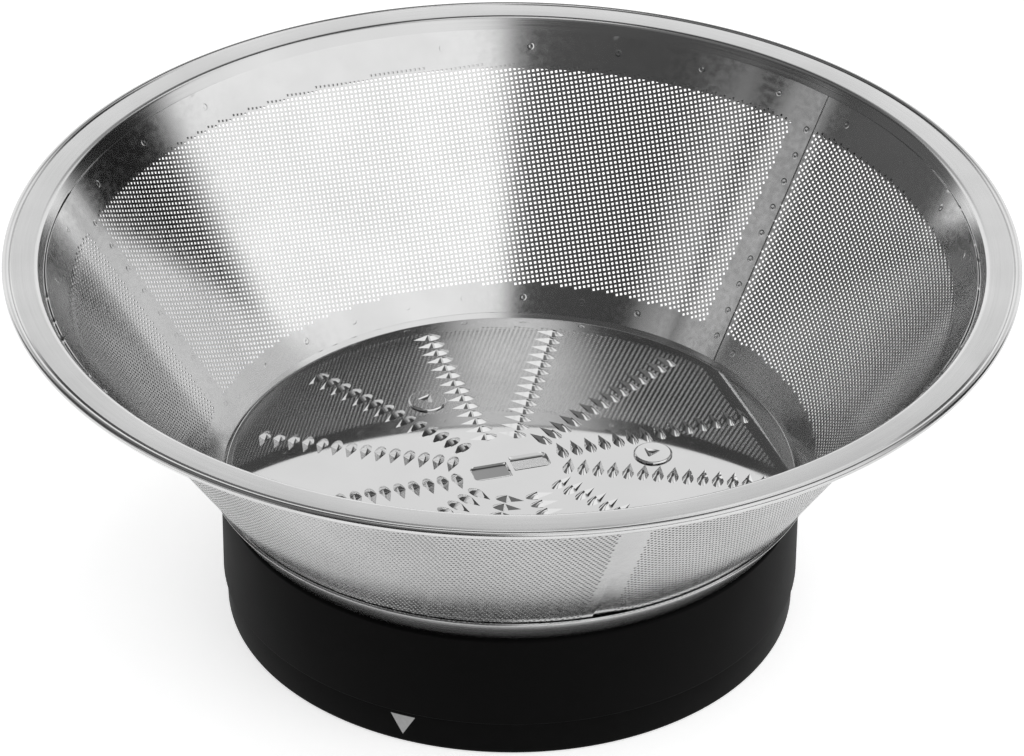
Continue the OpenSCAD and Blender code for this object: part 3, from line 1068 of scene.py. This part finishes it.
camera_data = bpy.data.cameras.new("photo_camera")
camera_data.sensor_width = 36
camera_data.lens = focal_px / frame_px * camera_data.sensor_width
camera_data.shift_x = (frame_px / 2 - centre_px) / frame_px
camera = bpy.data.objects.new("photo_camera", camera_data)
bpy.context.scene.collection.objects.link(camera)
camera.matrix_world = (
    Matrix.Translation(camera_at)
    @ Matrix.Rotation(math.radians(90 - camera_down), 4, "X")
    @ Matrix.Rotation(math.radians(camera_roll), 4, "Z")
)
bpy.context.scene.camera = camera


def floor_finish():
    """White studio floor: it keeps a soft shadow and is white to lens and metal."""
    finish = Finish("studio_floor", grey(0.85), 0.0, 0.9)
    path = finish.add("ShaderNodeLightPath")
    to_lens, to_metal = [
        finish.add("ShaderNodeMath", {"operation": "MULTIPLY"}, i0=path.outputs[ray], i1=glow).outputs[0]
        for ray, glow in (("Is Camera Ray", floor_to_lens), ("Is Glossy Ray", floor_to_metal))
    ]
    strength = finish.add("ShaderNodeMath", {"operation": "MAXIMUM"}, i0=to_lens, i1=to_metal).outputs[0]
    finish.shader.inputs["Emission Color"].default_value = (1, 1, 1, 1)
    finish.set("Emission Strength", strength)
    return finish.material


def make_floor():
    form = bmesh.new()
    half_side, drop = 3.0, 0.00002
    sides = ((-1, -1), (1, -1), (1, 1), (-1, 1))
    form.faces.new([form.verts.new((x * half_side, y * half_side, -drop)) for x, y in sides])
    mesh = bpy.data.meshes.new("studio_floor")
    form.to_mesh(mesh)
    form.free()
    mesh.materials.append(floor_finish())
    floor = bpy.data.objects.new("studio_floor", mesh)
    bpy.context.scene.collection.objects.link(floor)


def make_world():
    """White surround for the lens, and for the metal a studio with soft boxes and a dark side."""
    world = bpy.data.worlds.new("studio")
    bpy.context.scene.world = world
    world.use_nodes = True
    nodes, links = world.node_tree.nodes, world.node_tree.links
    nodes.clear()

    def add(kind, settings=None, **inputs):
        return add_node(nodes, links, kind, settings, inputs)

    def sums(operation, a, b=0.0):
        return add("ShaderNodeMath", {"operation": operation}, i0=a, i1=b).outputs[0]

    def smooth(value, start, end, low=0.0, high=1.0):
        node = add("ShaderNodeMapRange", {"interpolation_type": "SMOOTHSTEP"}, Value=value)
        for key, number in (("From Min", start), ("From Max", end), ("To Min", low), ("To Max", high)):
            node.inputs[key].default_value = number
        return node.outputs[0]

    direction = add("ShaderNodeTexCoord").outputs["Generated"]
    x, y, z = add("ShaderNodeSeparateXYZ", Vector=direction).outputs
    height = sums("DEGREES", sums("ARCSINE", z))

    def off_bearing(azimuth):
        """Degrees to either side of a compass direction."""
        a = math.radians(azimuth)
        along = sums("ADD", sums("MULTIPLY", x, math.cos(a)), sums("MULTIPLY", y, math.sin(a)))
        across = sums("SUBTRACT", sums("MULTIPLY", y, math.cos(a)), sums("MULTIPLY", x, math.sin(a)))
        return sums("ABSOLUTE", sums("DEGREES", sums("ARCTAN2", across, along)))

    def soft_box(azimuth, half_width, low, high, soft, strength):
        sides = smooth(off_bearing(azimuth), half_width - soft, half_width + soft, strength, 0.0)
        bottom = smooth(height, low - soft, low + soft)
        top = smooth(height, high - soft, high + soft, 1.0, 0.0)
        return sums("MULTIPLY", sides, sums("MULTIPLY", bottom, top))

    fade = add("ShaderNodeFloatCurve", Value=sums("DIVIDE", height, 90.0))
    curve = fade.mapping.curves[0]
    for stop, level in backdrop_fade:
        curve.points.new(stop / 90.0, level)
    curve.points[0].location = (0.0, backdrop_fade[0][1])
    curve.points[-1].location = (1.0, backdrop_fade[-1][1])
    for point in curve.points:
        point.handle_type = "VECTOR"
    fade.mapping.update()
    room = sums("MULTIPLY", smooth(off_bearing(90), *backdrop_sides, 1.0, 0.0), fade.outputs[0])
    for box in soft_boxes:
        room = sums("MAXIMUM", room, soft_box(*box))
    room = sums("MAXIMUM", room, smooth(height, *ceiling))
    beside = smooth(off_bearing(90), *backdrop_sides, 0.3, 1.0)
    dim = sums("MULTIPLY", smooth(height, *dim_room), beside)
    room = sums("MAXIMUM", room, dim)

    path = add("ShaderNodeLightPath")
    lens = add("ShaderNodeBackground", Color=(1, 1, 1, 1), Strength=1.0)
    metal = add("ShaderNodeBackground", Color=(1, 1, 1, 1), Strength=room)
    fill = add("ShaderNodeBackground", Color=(1, 1, 1, 1), Strength=fill_light)
    seen = fill
    for ray, light in (("Is Glossy Ray", metal), ("Is Camera Ray", lens)):
        seen = add("ShaderNodeMixShader", i0=path.outputs[ray], i1=seen.outputs[0], i2=light.outputs[0])
    links.new(seen.outputs[0], add("ShaderNodeOutputWorld").inputs[0])


def area_light(name, azimuth, elevation, distance, width, height, power):
    """A soft light on a sphere round the basket, facing its middle."""
    data = bpy.data.lights.new(name, "AREA")
    data.shape = "RECTANGLE"
    data.size = width
    data.size_y = height
    data.energy = power
    light = bpy.data.objects.new(name, data)
    a, e = math.radians(azimuth), math.radians(elevation)
    place = Vector((math.cos(a) * math.cos(e), math.sin(a) * math.cos(e), math.sin(e))) * distance
    light.location = place
    light.rotation_euler = (Vector((0, 0, 0.04)) - place).to_track_quat("-Z", "Y").to_euler()
    light.visible_glossy = False
    bpy.context.scene.collection.objects.link(light)


make_floor()
make_world()
area_light("key_box", -40, 42, 1.6, 1.2, 1.0, 6)
area_light("top_box", 60, 80, 1.6, 1.0, 1.0, 5)
bpy.context.scene.view_settings.view_transform = "Standard"
